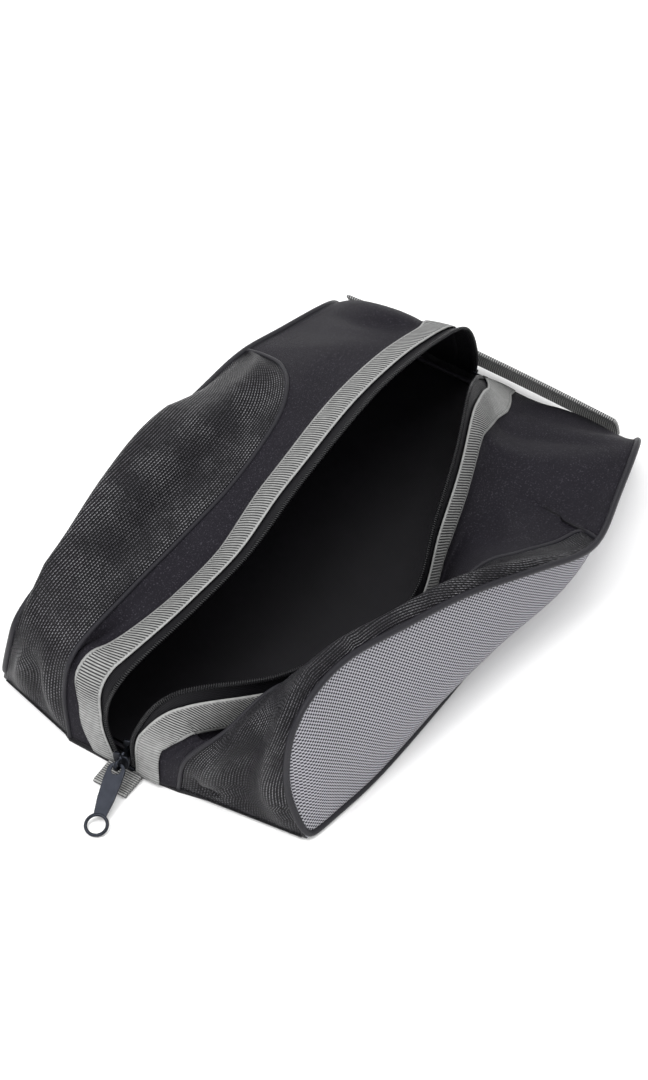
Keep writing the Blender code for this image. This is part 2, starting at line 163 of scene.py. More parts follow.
def through(points, at):
    """The smooth curve through the points: at whole stations it meets them, and between two it is
    the cubic whose end slopes are half the step between their neighbours."""
    points, at = np.asarray(points, float), np.asarray(at, float)
    first = np.clip(at.astype(int), 0, len(points) - 2)
    t = (at - first)[:, None]
    slope = np.gradient(points, axis=0)
    return (
        (2 * t**3 - 3 * t**2 + 1) * points[first]
        + (t**3 - 2 * t**2 + t) * slope[first]
        + (3 * t**2 - 2 * t**3) * points[first + 1]
        + (t**3 - t**2) * slope[first + 1]
    )


def unit(vectors):
    """Each vector divided by its length."""
    return vectors / np.maximum(np.linalg.norm(vectors, axis=-1, keepdims=True), 1e-12)


def surface(name, grid, uv, materials, around=False, closed=False, caps=False, flip=False):
    """A mesh of quads over a grid of points, with its UV map in metres. around joins the last column
    to the first, closed the last row to the first, and caps closes a tube's two ends."""
    rows, columns = grid.shape[:2]
    i, j = np.meshgrid(
        np.arange(rows - (not closed)), np.arange(columns - (not around)), indexing="ij"
    )
    ci = np.stack([i, i + 1, i + 1, i], axis=-1).reshape(-1, 4)
    cj = np.stack([j, j, j + 1, j + 1], axis=-1).reshape(-1, 4)
    if flip:
        ci, cj = ci[:, ::-1], cj[:, ::-1]
    faces = ((ci % rows) * columns + cj % columns).tolist()
    corners = uv[ci, cj].reshape(-1, 2)
    if caps:
        first, last = list(range(columns)), list(range((rows - 1) * columns, rows * columns))
        ends = [first if flip else first[::-1], last[::-1] if flip else last]
        faces += ends
        corners = np.vstack([corners, np.zeros((2 * columns, 2))])
    mesh = bpy.data.meshes.new(name)
    mesh.from_pydata(grid.reshape(-1, 3).tolist(), [], faces)
    layer = mesh.uv_layers.new(name="cloth")
    layer.uv.foreach_set("vector", corners.astype(np.float32).ravel())
    mesh.shade_smooth()
    for material in materials:
        mesh.materials.append(material)
    piece = bpy.data.objects.new(name, mesh)
    bpy.context.scene.collection.objects.link(piece)
    return piece


def lengths(grid, axis):
    """How far each point of a grid lies along the axis, in metres from its first point."""
    step = np.linalg.norm(np.diff(grid, axis=axis), axis=-1)
    start = np.zeros_like(np.take(step, [0], axis=axis))
    return np.concatenate([start, np.cumsum(step, axis=axis)], axis=axis)


def tube(name, path, radius, material, lean, sides=12, closed=False, flat=1.0):
    """A round cord along a path: a circle, scaled by flat across its lean, carried square to it."""
    step = np.roll(path, -1, 0) - np.roll(path, 1, 0) if closed else np.gradient(path, axis=0)
    across = unit(np.cross(unit(step), np.asarray(lean, float)))
    up = np.cross(across, unit(step))
    turn = np.linspace(0, 2 * math.pi, sides, endpoint=False)[None, :, None]
    grid = path[:, None] + radius * (
        np.cos(turn) * across[:, None] + flat * np.sin(turn) * up[:, None]
    )
    run = np.concatenate([[0], np.cumsum(np.linalg.norm(np.diff(path, axis=0), axis=1))])
    if closed:
        run = np.append(run, run[-1] + np.linalg.norm(path[0] - path[-1]))
    ring = np.linspace(0, 2 * math.pi * radius, sides + 1)
    uv = np.stack(np.meshgrid(run, ring, indexing="ij"), axis=-1)
    return surface(name, grid, uv, [material], around=True, closed=closed, caps=not closed)


def cord_cloth():
    """Cloth wrapped round a cord: close slanting threads, and a little gloss on the worn crown."""
    material, feed = finish("black_piping_cloth", 0.45, 0.22)
    u, v = own_axes(material)
    slant = maths(material, "ADD", u, v)
    lines = threads(material, slant, 0.0009)
    # Painted light and shade: the raised threads are painted lighter and the troughs between them
    # darker.
    colour = mixed(material, lines, (0.0030, 0.0028, 0.0040, 1.0), (0.0210, 0.0200, 0.0260, 1.0))
    feed(colour, height=lines, depth=0.00010)
    return material


def own_axes(material):
    """The piece's own UV map in metres: along the cloth, and across it."""
    made = material.node_tree.nodes.new("ShaderNodeUVMap")
    made.uv_map = "cloth"
    parts = material.node_tree.nodes.new("ShaderNodeSeparateXYZ")
    material.node_tree.links.new(made.outputs[0], parts.inputs[0])
    return parts.outputs[0], parts.outputs[1]


piping_cloth = cord_cloth()
ring_low, ring_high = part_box("base_seam_binding")
bearing = np.radians(np.linspace(-180, 180, 160, endpoint=False))
corner = np.array([(ring_high[0] - ring_low[0]) / 2, (ring_high[1] - ring_low[1]) / 2]) - 0.0017
middle = np.array([(ring_high[0] + ring_low[0]) / 2, (ring_high[1] + ring_low[1]) / 2])
roundness = 0.22
cosine, sine = np.cos(bearing), np.sin(bearing)
binding_path = np.column_stack([
    middle[0] + corner[0] * np.sign(cosine) * np.abs(cosine) ** roundness,
    middle[1] + corner[1] * 0.955 * np.sign(sine) * np.abs(sine) ** roundness,
    np.full(160, ring_low[2] + 0.0021),
])
binding = tube("bound_base_seam", binding_path, 0.0015, piping_cloth, (0, 0, 1), closed=True)
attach(binding, "root")
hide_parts("base_seam_binding")

# The side panels.
# Each side is a D-shaped panel of black and light grey checked cloth, lined in black, with cloth
# piping sewn all round its edge. The cloth bellies out a little over the base.
HALF = np.array([0.180, 0.105, 0.100])
TOP = {
    "left": [
        (-0.956, 0.99, 0.02), (-0.972, 0.90, 0.42), (-0.933, 0.86, 0.66), (-0.695, 0.85, 0.78),
        (-0.445, 0.89, 0.83), (-0.167, 0.95, 0.78), (0.111, 0.97, 0.66), (0.400, 0.99, 0.57),
        (0.611, 0.95, 0.47), (0.844, 0.89, 0.37), (0.950, 0.93, 0.18), (0.989, 0.99, 0.02),
    ],
    "right": [
        (-0.967, -1.01, 0.02), (-0.972, -0.89, 0.42), (-0.928, -0.90, 0.90), (-0.711, -0.93, 1.03),
        (-0.445, -1.04, 0.95), (-0.167, -1.16, 0.83), (0.111, -1.32, 0.66), (0.345, -1.42, 0.51),
        (0.606, -1.31, 0.45), (0.850, -1.19, 0.40), (0.950, -1.09, 0.20), (0.989, -1.00, 0.02),
    ],
}
FLOOR_LINE = {
    "left": [
        (-0.956, 0.99), (-0.700, 1.07), (-0.300, 1.12), (0.200, 1.12), (0.700, 1.08), (0.989, 0.99),
    ],
    "right": [
        (-0.967, -1.01), (-0.830, -1.05), (-0.578, -1.10), (0.000, -1.11), (0.550, -1.07),
        (0.989, -1.00),
    ],
}
PIPING_RADIUS = 0.0020
RIM = PIPING_RADIUS + 0.0002
CORNER_ROUNDS = 9
SIGN = {"left": 1, "right": -1}
STATIONS = np.linspace(0, 11, 133)
MIDWAY = 66


def check_cloth():
    """Checked cloth: light squares where the sines of the two thread directions have one sign and
    dark ones where they differ, with each square's own crown in the weave."""
    material, feed = finish("checked_cloth", 0.72, 0.12)
    u, v = own_axes(material)
    cell = 2 * math.pi / 0.0027
    across = maths(material, "SINE", maths(material, "MULTIPLY", u, cell))
    upward = maths(material, "SINE", maths(material, "MULTIPLY", v, cell))
    both = maths(material, "MULTIPLY", across, upward)
    share = ramped(material, both, -0.16, 0.10)
    fine = threads(material, maths(material, "ADD", u, v), 0.0006)
    light = mixed(material, fine, (0.255, 0.252, 0.278, 1.0), (0.430, 0.426, 0.456, 1.0))
    dark = mixed(material, fine, (0.010, 0.0098, 0.0125, 1.0), (0.032, 0.0315, 0.0385, 1.0))
    feed(mixed(material, share, dark, light), height=both, depth=0.00025)
    return material


def sheet(name, grid, materials, outward, thickness=0.0009, uv=None):
    """A panel of cloth over a grid, with its inner face in the second material. Its UV map is the
    distance along its rows and columns, unless the cloth's threads run another way."""
    rows, columns = grid.shape[:2]
    if uv is None:
        uv = np.stack([lengths(grid, 0), lengths(grid, 1)], axis=-1)
    middle = grid[rows // 2, columns // 2]
    facing = np.cross(
        grid[rows // 2 + 1, columns // 2] - middle, grid[rows // 2, columns // 2 + 1] - middle
    )
    flip = bool(facing @ np.asarray(outward, float) < 0)
    piece = surface(name, grid, uv, materials, flip=flip)
    wall = piece.modifiers.new("wall", "SOLIDIFY")
    wall.thickness = thickness
    wall.offset = -1.0
    wall.material_offset = len(materials) - 1
    wall.material_offset_rim = len(materials) - 1
    return piece


def folded(grid, outward, folds):
    """The grid moved along its outward normal by soft ridges. Each fold is a line from one place to
    another, as station and share across, with its half width in metres and its height."""
    s = np.linspace(0, 1, grid.shape[0])[:, None] * lengths(grid, 0)[-1].mean()
    f = np.linspace(0, 1, grid.shape[1])[None, :] * lengths(grid, 1)[:, -1].mean()
    normal = unit(np.cross(np.gradient(grid, axis=0), np.gradient(grid, axis=1)))
    normal = normal * np.sign((normal * np.asarray(outward, float)).sum(-1, keepdims=True) + 1e-9)
    rise = np.zeros(grid.shape[:2])
    for (s0, f0, s1, f1, width, height) in folds:
        a = np.array([s0 * s[-1, 0], f0 * f[0, -1]])
        b = np.array([s1 * s[-1, 0], f1 * f[0, -1]])
        run = b - a
        t = np.clip(((s - a[0]) * run[0] + (f - a[1]) * run[1]) / (run @ run), 0, 1)
        away = np.hypot(s - a[0] - t * run[0], f - a[1] - t * run[1])
        rise += height * np.exp(-((away / width) ** 2)) * np.sin(np.pi * (0.12 + 0.76 * t))
    edge = np.minimum(np.minimum(s, s[-1] - s), np.minimum(f, f[0, -1] - f)) / 0.006
    return grid + normal * (rise * np.clip(edge, 0, 1))[..., None]


checked = check_cloth()
SIDE_FOLDS = {
    "left": [(0.2, 0.5, 0.8, 0.6, 0.02, 0.0015)],
    "right": [
        (0.75, 0.05, 0.60, 0.55, 0.010, 0.0020), (0.88, 0.10, 0.80, 0.8, 0.008, -0.0020),
        (0.15, 0.15, 0.35, 0.75, 0.020, 0.0010),
    ],
}
edge_top = {}
for side, sign in SIGN.items():
    top = np.array(TOP[side]) * HALF
    top[[0, -1], 2] = RIM
    floor_line = np.column_stack([np.array(FLOOR_LINE[side]) * HALF[:2], np.full(6, RIM)])
    edge_top[side] = top
    station = np.linspace(0.06, 10.94, 120)
    upper = through(top, station)
    share = np.interp(station, [0, 2, 9, 11], [0, 0.9, 4.1, 5])
    lower = through(floor_line, share)
    lower[:, 0] = np.clip(lower[:, 0], top[0, 0], top[-1, 0])
    belly = np.interp(station, [0, 2, 5, 8, 11], [0, 0.5, 1, 0.6, 0])[:, None] * 0.009
    waist = upper * 0.45 + lower * 0.55 + np.array([0, sign, 0]) * belly
    stack = np.stack([upper, waist, lower]).reshape(3, -1)
    grid = through(stack, np.linspace(0, 2, 28)).reshape(28, -1, 3).transpose(1, 0, 2)
    grid = folded(grid, (0, sign, 0), SIDE_FOLDS[side])
    rise = lengths(grid, 1)
    level = np.stack([grid[..., 0] + 0.5, rise[:, -1:] - rise], axis=-1)
    panel = sheet(f"{side}_checked_panel", grid, [checked, lining], (0, sign, 0), uv=level)
    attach(panel, "root")
    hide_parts(f"{side}_side_panel")
    loop = np.vstack([
        through(top, np.linspace(0.06, 10.94, 130)), through(floor_line, np.linspace(4.93, 0.07, 60))
    ])
    for _ in range(CORNER_ROUNDS):
        loop = (np.roll(loop, 1, 0) + 2 * loop + np.roll(loop, -1, 0)) / 4
    piping = tube(f"{side}_panel_piping", loop, PIPING_RADIUS, piping_cloth, (0, 1, 0), closed=True)
    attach(piping, "root")
    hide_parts(f"{side}_side_piping")

# The net gussets.
# Black knitted net runs from the toe seam up over each shoulder and tapers to a rounded end on the
# side panel's edge. It is slack, so it puckers at the toe and crowns softly over the top.
SEAM = {
    "left": [
        (-1.040, 0.44, 0.03), (-1.022, 0.48, 0.38), (-0.967, 0.46, 0.65), (-0.695, 0.44, 0.69),
        (-0.445, 0.40, 0.73), (-0.167, 0.37, 0.77), (0.111, 0.41, 0.80), (0.267, 0.51, 0.79),
        (0.367, 0.66, 0.72), (0.411, 0.82, 0.64),
    ],
    "right": [
        (-1.022, -0.25, 0.03), (-1.022, -0.31, 0.33), (-0.955, -0.49, 0.58), (-0.750, -0.60, 0.68),
        (-0.490, -0.82, 0.50), (-0.195, -0.93, 0.52), (0.028, -1.01, 0.61), (0.167, -1.12, 0.56),
        (0.306, -1.21, 0.47), (0.411, -1.27, 0.43),
    ],
}
TIP = 7.15
FOOT = 0.0030
ZIP_NEAR_Y = 0.0065
CREST = {"left": (0.002, 0.011), "right": (0.008, 0.008)}
NET_FOLDS = {
    "left": [
        (0.02, 0.15, 0.16, 0.35, 0.006, 0.0045), (0.02, 0.70, 0.14, 0.60, 0.007, 0.0050),
        (0.40, 0.45, 0.95, 0.35, 0.007, 0.0035), (0.30, 0.25, 0.75, 0.22, 0.006, -0.0035),
        (0.03, 0.42, 0.12, 0.48, 0.005, -0.0045), (0.20, 0.80, 0.60, 0.70, 0.009, 0.0020),
    ],
    "right": [
        (0.03, 0.20, 0.22, 0.30, 0.005, 0.0055), (0.03, 0.45, 0.20, 0.55, 0.005, -0.0055),
        (0.02, 0.75, 0.24, 0.72, 0.006, 0.0050), (0.30, 0.30, 0.50, 0.60, 0.006, 0.0020),
    ],
}


def net_cloth():
    """Knitted net: two slanting sets of threads whose crossings stand up, with a painted highlight on
    each, brighter and duller in stretches where it is more or less drawn, over black holes darkened by
    painted shade."""
    material, feed = finish("black_net", 0.38, 0.16)
    u, v = own_axes(material)
    down = threads(material, maths(material, "MULTIPLY_ADD", v, 0.62, u), 0.0021)
    upward = threads(material, maths(material, "MULTIPLY_ADD", v, -0.62, u), 0.0021)
    rows = threads(material, v, 0.0017)
    place, _, _, _ = object_axes(material)
    uneven = maths(material, "MULTIPLY_ADD", speckle(material, place, 420.0, 1.0), 0.9, 0.55)
    knots = maths(material, "MULTIPLY", maths(material, "MAXIMUM", down, upward), rows)
    knots = maths(material, "MULTIPLY", knots, uneven)
    cloud = ramped(material, speckle(material, place, 38.0, 2.0), 0.35, 0.70)
    # Painted highlight: pale colour at the knots stands for the glints on the black thread, brighter
    # and duller in cloudy stretches.
    painted_glint = mixed(material, cloud, (0.060, 0.058, 0.066, 1.0), (0.200, 0.198, 0.210, 1.0))
    share = ramped(material, knots, 0.58, 0.96)
    # The low colour is the black thread and, in the holes, the black lining seen through them, darkened
    # further as painted shade.
    colour = mixed(material, share, (0.0022, 0.0020, 0.0032, 1.0), painted_glint)
    feed(colour, height=knots, depth=0.00045, strength=1.0)
    return material


def bends(piece):
    """Bakes the piece's placement into its mesh; the piece is not turned between the bag and its lip.
    """
    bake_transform(piece)


net = net_cloth()
edge_seam = {}
NET_ROWS = 30
for side, sign in SIGN.items():
    seam = np.array(SEAM[side]) * HALF
    seam[0, 2] = FOOT
    edge_seam[side] = seam
    line = np.vstack([seam, through(edge_top[side], [TIP])])
    at = np.linspace(0, len(seam) - 0.12, 100)
    inner = through(line, at)
    station = np.interp(at, range(len(line)), [0, 1, 2, 3, 4, 5, 6, 6.45, 6.8, 7.0, TIP])
    outer = through(edge_top[side], station)
    swell = np.interp(station, [0, 1.6, 2.6, 5.5, 7], [0, 0, 1, 1, 0])[:, None]
    rise = np.array([0, -sign * CREST[side][0], CREST[side][1]])
    crest = outer + swell * rise + (1 - swell) * (inner - outer) * 0.25
    stack = np.stack([inner, (inner + crest) / 2, crest, outer]).reshape(4, -1)
    grid = through(stack, np.linspace(0, 3, NET_ROWS)).reshape(NET_ROWS, -1, 3).transpose(1, 0, 2)
    grid = folded(grid, (0, sign * 0.4, 1), NET_FOLDS[side])
    piece = sheet(f"{side}_net_gusset", grid, [net, lining], (0, sign * 0.4, 1), 0.0007)
    across = np.linspace(1, 0, NET_ROWS)[None, :]
    bends(piece)
    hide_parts(f"{side}_mesh_gusset")
    path = through(line, np.linspace(0, len(seam) - 0.1, 150))
    cord = tube(f"{side}_net_piping", path, 0.0015, piping_cloth, (-0.6, -0.6 * sign, 0.5), sides=12)
    bends(cord)
    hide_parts(f"{side}_seam_piping")

# The toe's seam allowance.
# Inside the toe, the walls' cut edges are turned in over the base and sewn down flat, as a strip
# of lining 11 mm wide from one side panel to the other. The photograph hides it, so it is a guess.
toe_corners = np.array([
    edge_top["left"][0], edge_seam["left"][0], (-0.1885, ZIP_NEAR_Y, FOOT), edge_seam["right"][0],
    edge_top["right"][0],
])
toe_run = np.concatenate([[0], np.cumsum(np.linalg.norm(np.diff(toe_corners, axis=0), axis=1))])
toe_at = np.linspace(0.003, toe_run[-1] - 0.003, 70)
toe_edge = np.column_stack([np.interp(toe_at, toe_run, toe_corners[:, axis]) for axis in (0, 1)])
inward = np.column_stack([np.ones(70), -toe_edge[:, 1] / 0.35])
turned_in = toe_edge[:, None] + np.linspace(-0.0006, 0.0104, 6)[None, :, None] * inward[:, None]
grid = np.concatenate([turned_in, np.full((70, 6, 1), 0.0027)], axis=2)
allowance = sheet("toe_seam_allowance", grid, [lining], (0, 0, 1), 0.0005)
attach(allowance, "root")

# The top panels.
# Plain black polyester cloth runs from each zip tape, under the ribbon, out to the net's seam and
# at the heel to the side panel's edge. It is one piece a side, soft, with a few slack folds.
ZIP = {
    "left": [
        (-1.040, 0.10, 0.03), (-1.020, 0.21, 0.33), (-0.967, 0.14, 0.64), (-0.695, 0.00, 0.83),
        (-0.445, -0.06, 0.91), (-0.167, -0.05, 0.98), (0.111, -0.04, 1.01), (0.361, -0.04, 1.01),
        (0.594, -0.09, 0.99), (0.772, -0.12, 0.87), (0.880, -0.09, 0.48), (1.000, 0.03, 0.03),
    ],
    "right": [
        (-1.040, 0.03, 0.03), (-1.020, 0.02, 0.34), (-0.940, -0.16, 0.66), (-0.695, -0.51, 0.60),
        (-0.445, -0.66, 0.53), (-0.167, -0.78, 0.51), (0.111, -0.64, 0.64), (0.361, -0.50, 0.72),
        (0.594, -0.33, 0.72), (0.767, -0.20, 0.50), (0.889, -0.11, 0.26), (1.000, -0.03, 0.03),
    ],
}
ROW_SPACING = 0.0080
FALL = {
    "left": [0, 10, 25, 34, 34, 30, 28, 27, 27, 27, 10, 0],
    "right": [0, 30, 58, 73, 80, 82, 76, 72, 65, 55, 22, 0],
}
SEAM_FACES = [0, 1.03, 2.2, 3.05, 4, 5, 6, 6.5, 7, 7.35, 7.6]
HUG = 0.0325
SHRINK = np.interp(STATIONS, [1, 2, 10, 11], [0.60, 1, 1, 0.8])[:, None]
HEEL_FULLNESS = {"left": 0.005, "right": 0.017}
TOP_FOLDS = {
    "left": [
        (0.76, 0.35, 0.80, 0.95, 0.006, -0.0016), (0.80, 0.40, 0.86, 0.95, 0.010, 0.0022),
        (0.70, 0.55, 0.62, 0.85, 0.010, 0.0012), (0.25, 0.75, 0.45, 0.80, 0.005, -0.0008),
    ],
    "right": [
        (0.66, 0.75, 0.76, 0.95, 0.009, -0.0030), (0.70, 0.55, 0.82, 0.70, 0.014, 0.0035),
        (0.60, 0.85, 0.66, 0.60, 0.006, 0.0020), (0.10, 0.70, 0.16, 0.85, 0.005, 0.0025),
        (0.86, 0.45, 0.84, 0.92, 0.010, 0.0020),
    ],
}


def black_cloth():
    """Plain polyester weave: a fine square crown pattern, a cloudy tone, and pale lint specks."""
    material, feed = finish("black_cloth", 0.62, 0.10, sheen=0.02)
    u, v = own_axes(material)
    weave = maths(material, "MULTIPLY", threads(material, u, 0.00085), threads(material, v, 0.00085))
    place, _, _, _ = object_axes(material)
    cloud = speckle(material, place, 45.0, 4.0)
    ground = mixed(material, cloud, (0.0062, 0.0054, 0.0084, 1.0), (0.0125, 0.0112, 0.0158, 1.0))
    grain = ramped(material, speckle(material, place, 1100.0, 2.0), 0.56, 0.72)
    lint, crown = maths(material, "MULTIPLY", grain, 0.60), maths(material, "MULTIPLY", weave, 0.35)
    lifted = mixed(material, lint, ground, (0.058, 0.054, 0.066, 1.0))
    shade = mixed(material, crown, lifted, (0.0030, 0.0026, 0.0040, 1.0))
    feed(shade, height=weave, depth=0.00018)
    return material


def lip_frame(side, line):
    """Along a zip edge: its points, the way its cloth leaves it, and the way the cloth faces. The
    cloth leaves it sideways and down by the lip's own fall, square to the edge."""
    path = through(line, STATIONS)
    tangent = unit(np.gradient(path, axis=0))
    angle = np.radians(np.interp(STATIONS, range(12), FALL[side]))
    away = np.column_stack([np.zeros_like(angle), SIGN[side] * np.cos(angle), -np.sin(angle)])
    square = np.interp(STATIONS, [0, 1, 10, 11], [0, 1, 1, 0])[:, None]
    away = unit(away - square * (away * tangent).sum(1, keepdims=True) * tangent)
    return path, away, unit(SIGN[side] * np.cross(tangent, away))


cloth = black_cloth()
lips = {}
for side, sign in SIGN.items():
    line = np.array(ZIP[side]) * HALF
    line[[0, -1], 2] = FOOT
    line[0, 1] = ZIP_NEAR_Y + sign * ROW_SPACING / 2
    line[-1, 1] = sign * ROW_SPACING / 2
    path, away, normal = lip_frame(side, line)
    lips[side] = (line, path, away, normal)
    tip = through(edge_top[side], [TIP])
    seam_line = np.vstack([edge_seam[side], tip])
    on_seam = through(seam_line, np.interp(STATIONS, SEAM_FACES, range(len(seam_line))))
    on_top = through(edge_top[side], np.interp(STATIONS, [7.6, 8, 9, 10, 11], [TIP, 8, 9, 10, 11]))
    border = np.where((STATIONS <= 7.6)[:, None], on_seam, on_top)
    start, hug = path + away * 0.0125, path + away * (HUG * SHRINK)
    span = np.linalg.norm(border - hug, axis=1, keepdims=True)
    turn = hug + away * span * 0.30 + np.array([0, 0, 1]) * span * 0.06
    turn[:, 0] += np.interp(STATIONS, [8.5, 9.8, 10.5, 11], [0, 1, 1, 0]) * HEEL_FULLNESS[side]
    t = np.linspace(0, 1, 22)[:, None, None]
    curve = (1 - t) ** 2 * hug + 2 * t * (1 - t) * turn + t**2 * border
    first = start + (hug - start) * np.linspace(0, 1, 7)[:-1, None, None]
    grid = np.concatenate([first, curve]).transpose(1, 0, 2)
    grid = folded(grid, (0, sign * 0.5, 1), TOP_FOLDS[side])
    piece = sheet(f"{side}_black_panel", grid, [cloth, lining], (0, sign * 0.5, 1), 0.0010)
    across = np.concatenate([np.zeros(6), np.linspace(0, 1, 22)])[None, :]
    bends(piece)
    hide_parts(f"{side}_top_panel")

# The zip tapes and their coils.
# Each half of the zip is a black woven tape with a nylon coil sewn along its edge. The coil is one
# thread wound round and round, flattened, with a row of stitches down its middle.
COIL_PITCH = 0.0014


def tape_cloth():
    """Zip tape: fine ribs along it and slanting threads across them; its two lines of stitches are not
    drawn.
    """
    material, feed = finish("zip_tape_cloth", 0.55, 0.15)
    u, v = own_axes(material)
    ribs = threads(material, v, 0.0011)
    twill = threads(material, maths(material, "ADD", u, v), 0.0008)
    weave = maths(material, "MULTIPLY", ribs, twill)
    # Painted light and shade: the raised crowns of the weave are painted lighter and its troughs
    # darker.
    colour = mixed(material, weave, (0.0020, 0.0019, 0.0026, 1.0), (0.0150, 0.0145, 0.0180, 1.0))
    feed(colour, height=weave, depth=0.00020)
    return material


def coil_plastic():
    """Black nylon thread: smooth, with a clear gloss and a slight cloudiness."""
    material, feed = finish("zip_coil_nylon", 0.28, 0.40)
    place, _, _, _ = object_axes(material)
    cloud = speckle(material, place, 300.0)
    feed(mixed(material, cloud, (0.0030, 0.0030, 0.0036, 1.0), (0.0140, 0.0140, 0.0160, 1.0)))
    return material


tape_black, coil_black = tape_cloth(), coil_plastic()
for side, sign in SIGN.items():
    line, path, away, normal = lips[side]
    across = np.linspace(0.0008, 0.0135, 6)[None, :, None]
    grid = path[:, None] + away[:, None] * across - normal[:, None] * 0.0002
    piece = sheet(f"{side}_zip_cloth", grid, [tape_black], normal[MIDWAY], 0.0006)
    bends(piece)
    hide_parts(f"{side}_zip_tape")
    fine = through(line, np.linspace(0.12, 10.84, 4000))
    run = np.concatenate([[0], np.cumsum(np.linalg.norm(np.diff(fine, axis=0), axis=1))])
    turns = int(run[-1] / COIL_PITCH)
    wound = np.linspace(0, run[-1], turns * 9)
    station = np.interp(wound, run, np.linspace(0.12, 10.84, 4000))
    centre = through(line, station)
    out = np.stack([np.interp(station, STATIONS, away[:, k]) for k in range(3)], axis=1)
    up = np.stack([np.interp(station, STATIONS, normal[:, k]) for k in range(3)], axis=1)
    angle = wound / COIL_PITCH * 2 * math.pi
    helix = centre + out * (0.0004 + 0.00125 * np.cos(angle))[:, None]
    helix = helix + up * (0.0003 + 0.00085 * np.sin(angle))[:, None]
    coil = tube(f"{side}_zip_coil", helix, 0.00036, coil_black, (0.31, 0.57, 0.76), sides=6)
    bends(coil)
    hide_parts(f"{side}_zip_teeth")

# The ribbons.
# A grey grosgrain ribbon covers the raw edge of each black panel beside the zip. It is sewn down
# along both edges, and its ribs run across it. At its two ends the ribs are pressed nearly flat.
RIBBON_WIDTH = 0.0190
STITCH_ROW = 0.0079


def ribbon_cloth():
    """Grosgrain: a pale rib and a gap darkened by painted shade each pitch along the ribbon, a plain
    selvedge at both edges with dark stitches, and flatter ribs with less painted shade near the two
    ends."""
    material, feed = finish("grey_ribbon", 0.65, 0.12)
    u, v = own_axes(material)
    ribs = threads(material, u, 0.0019)
    strip = maths(material, "ABSOLUTE", maths(material, "SUBTRACT", v, RIBBON_WIDTH / 2))
    inside = left_over(material, ramped(material, strip, 0.0073, 0.0082))
    place, _, _, z = object_axes(material)
    low = ramped(material, z, 0.028, 0.050)
    share = maths(material, "MULTIPLY", inside, maths(material, "MULTIPLY_ADD", low, 0.50, 0.45))
    # Painted shade: the gaps between the ribs are painted near black, less so near the ends where the
    # ribs lie flatter.
    rib_gap_shade = left_over(material, ramped(material, ribs, 0.22, 0.78))
    depth = maths(material, "MULTIPLY", rib_gap_shade, share)
    cloud = speckle(material, place, 260.0, 3.0)
    pale = mixed(material, cloud, (0.200, 0.202, 0.199, 1.0), (0.380, 0.382, 0.376, 1.0))
    shaded_ribbon = mixed(material, depth, pale, (0.016, 0.016, 0.017, 1.0))
    from_row = maths(material, "ABSOLUTE", maths(material, "SUBTRACT", strip, STITCH_ROW))
    stitch_row = left_over(material, ramped(material, from_row, 0.0002, 0.0006))
    dashes = ramped(material, threads(material, u, 0.0026), 0.30, 0.45)
    stitch = maths(material, "MULTIPLY", stitch_row, dashes)
    colour = mixed(material, maths(material, "MULTIPLY", stitch, 0.55), shaded_ribbon, (0.09, 0.09, 0.09, 1.0))
    height = maths(material, "SUBTRACT", maths(material, "MULTIPLY", ribs, share), stitch)
    feed(colour, height=height, depth=0.00040)
    return material


ribbon_grey = ribbon_cloth()
for side, sign in SIGN.items():
    _, path, away, normal = lips[side]
    shown = np.interp(STATIONS, [1, 2, 9.4, 10.4], [0.3, 1, 1, 0.2])[:, None] * 0.0090
    reach = np.minimum(shown + RIBBON_WIDTH, HUG * SHRINK - 0.001)
    share = np.linspace(0, 1, 12)[None, :]
    crown = (0.0014 + 0.0005 * np.sin(np.pi * share))[..., None]
    wave = 1 + 0.04 * np.sin(STATIONS * 4.1 + sign)[:, None]
    distance = (shown * wave + (reach - shown) * share)[..., None]
    grid = path[:, None] + away[:, None] * distance + normal[:, None] * crown
    piece = sheet(f"{side}_grosgrain", grid, [ribbon_grey], normal[MIDWAY], 0.0007)
    bends(piece)
    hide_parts(f"{side}_ribbon")

# The stops.
# A small metal clip is crimped over the end of each tooth row at the heel, and one wider clip
# joins both rows at the toe, under the slider.


def dark_metal():
    """Dark gunmetal plating: satin, a little bluish, with fine brushed scratches and worn patches."""
    material, feed = finish("gunmetal", 0.30, 0.4, metallic=0.9)
    place, _, _, _ = object_axes(material)
    cloud = speckle(material, place, 220.0, 4.0)
    brushed = node(material, "ShaderNodeTexNoise", node(
        material, "ShaderNodeMapping", place, (0, 0, 0), (0, 0, 0), (300.0, 2600.0, 2600.0)
    ), None, 1.0, 2.0)
    colour = mixed(material, cloud, (0.012, 0.0135, 0.018, 1.0), (0.032, 0.035, 0.044, 1.0))
    worn = maths(material, "MULTIPLY_ADD", cloud, 0.22, 0.24)
    feed(colour, rough=worn, height=brushed, depth=0.00003)
    return material


def lozenge(name, centre, half, axes, material, power=0.35, rows=18, columns=28):
    """A block with soft edges: a sphere whose sines and cosines are raised to a small power."""
    tilt = np.linspace(-math.pi / 2, math.pi / 2, rows)[:, None]
    turn = np.linspace(-math.pi, math.pi, columns, endpoint=False)[None, :]

    def bend(value):
        return np.sign(value) * np.abs(value) ** power

    local = np.stack([
        half[0] * bend(np.cos(tilt)) * bend(np.cos(turn)),
        half[1] * bend(np.cos(tilt)) * bend(np.sin(turn)),
        half[2] * bend(np.sin(tilt)) * np.ones_like(turn),
    ], axis=-1)
    grid = np.asarray(centre) + local[1:-1] @ np.asarray(axes, float)
    uv = np.zeros((rows - 1, columns + 1, 2))
    return surface(name, grid, uv, [material], around=True, caps=True, flip=True)


